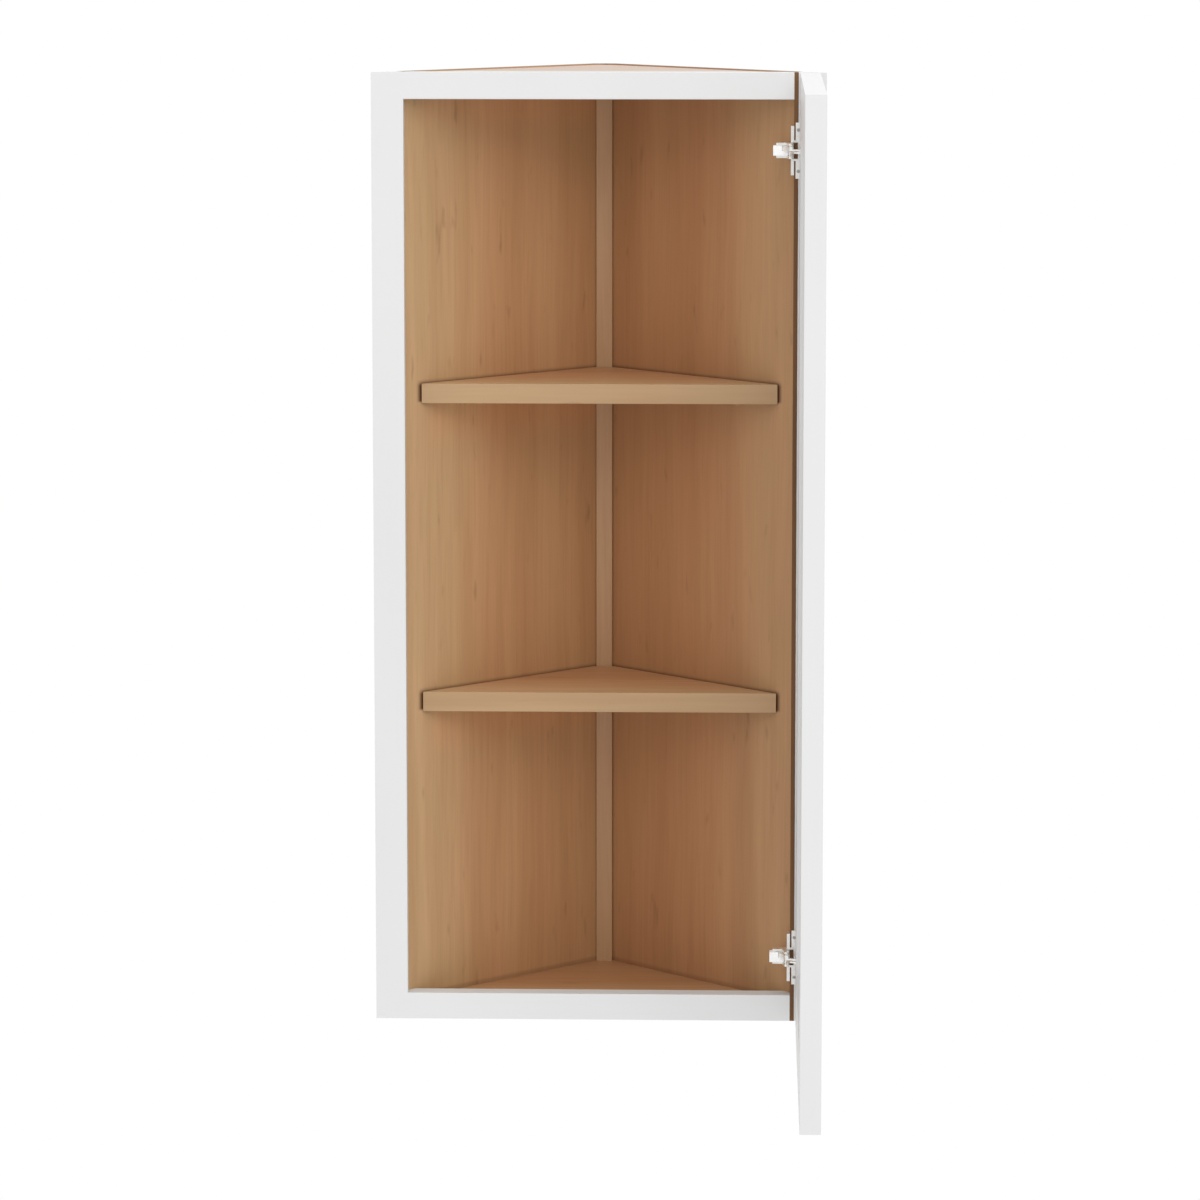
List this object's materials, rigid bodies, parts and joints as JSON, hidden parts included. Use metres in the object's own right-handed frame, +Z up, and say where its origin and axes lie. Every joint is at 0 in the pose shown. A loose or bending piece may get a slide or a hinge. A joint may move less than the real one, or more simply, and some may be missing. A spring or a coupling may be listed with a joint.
{
  "type": "wall end cabinet",
  "caption": "Wall end cabinet with a diagonal front: painted face frame and framed door on concealed cup hinges, maple sides meeting in a corner, triangular shelves on pins.",
  "frame": {"origin": "middle of the blunt rear corner, at the cabinet's lower edge", "axes": "+X to the right as seen from the front, +Y from the front to the rear corner, +Z up"},
  "size_m": [0.431, 0.6399, 0.9144],
  "materials": {
    "left_panel_maple": "clear satin lacquer, grain upright",
    "right_panel_maple": "clear satin lacquer, grain upright",
    "post_maple": "clear satin lacquer, grain upright",
    "top_maple": "pale and unlacquered, grain across",
    "floor_maple": "clear satin lacquer, grain across",
    "shelf_maple": "clear satin lacquer, grain across",
    "band_maple": "clear satin lacquer, grain along the band",
    "frame_paint": "satin white paint on wood",
    "hinge_stile_paint": "satin white paint on wood, bare beside the inner arris",
    "door_paint": "satin white paint on wood",
    "cover_plastic": "moulded white",
    "plate_steel": "nickel plated",
    "arm_steel": "nickel plated",
    "link_steel": "nickel plated",
    "cup_steel": "nickel plated",
    "pin_steel": "plain bright steel",
    "shelf_pin_plastic": "moulded, maple coloured"
  },
  "bodies": {
    "carcass": {"arm_pins": "pin_steel", "bottom_board": "floor_maple", "bottom_rail": "frame_paint", "corner_post": "post_maple", "hinge_stile": "hinge_stile_paint", "latch_stile": "frame_paint", "left_side_panel": "left_panel_maple", "lower_hinge_arm": "arm_steel", "lower_hinge_cover": "cover_plastic", "lower_hinge_plate": "plate_steel", "lower_shelf": "shelf_maple", "lower_shelf_band": "band_maple", "lower_shelf_pins": "shelf_pin_plastic", "right_side_panel": "right_panel_maple", "top_board": "top_maple", "top_rail": "frame_paint", "upper_hinge_arm": "arm_steel", "upper_hinge_cover": "cover_plastic", "upper_hinge_plate": "plate_steel", "upper_shelf": "shelf_maple", "upper_shelf_band": "band_maple", "upper_shelf_pins": "shelf_pin_plastic"},
    "outer_links": {"lower_outer_link": "link_steel", "upper_outer_link": "link_steel"},
    "inner_links": {"lower_inner_link": "link_steel", "upper_inner_link": "link_steel"},
    "door": {"cup_pins": "pin_steel", "door_bottom_rail": "door_paint", "door_free_stile": "door_paint", "door_hinge_stile": "door_paint", "door_panel": "door_paint", "door_top_rail": "door_paint", "lower_hinge_cup": "cup_steel", "upper_hinge_cup": "cup_steel"}
  },
  "joints": [
    {"name": "outer_link_turn", "type": "hinge", "parent": "carcass", "child": "outer_links", "pos_m": [0.17301, -0.19853, 0], "axis": [0, 0, 1], "range_deg": [-5, 29.6]},
    {"name": "door_swing", "type": "hinge", "parent": "outer_links", "child": "door", "pos_m": [0.19303, -0.22226, 0], "axis": [0, 0, 1], "range_deg": [-119.46, 19.91]},
    {"name": "inner_link_turn", "type": "hinge", "parent": "carcass", "child": "inner_links", "pos_m": [0.18196, -0.21261, 0], "axis": [0, 0, 1], "range_deg": [-5.4, 32]}
  ],
  "couplings": [
    {"joint": "outer_link_turn", "follows": "door_swing", "ratio": -0.24659},
    {"joint": "inner_link_turn", "follows": "door_swing", "ratio": -0.26678}
  ]
}
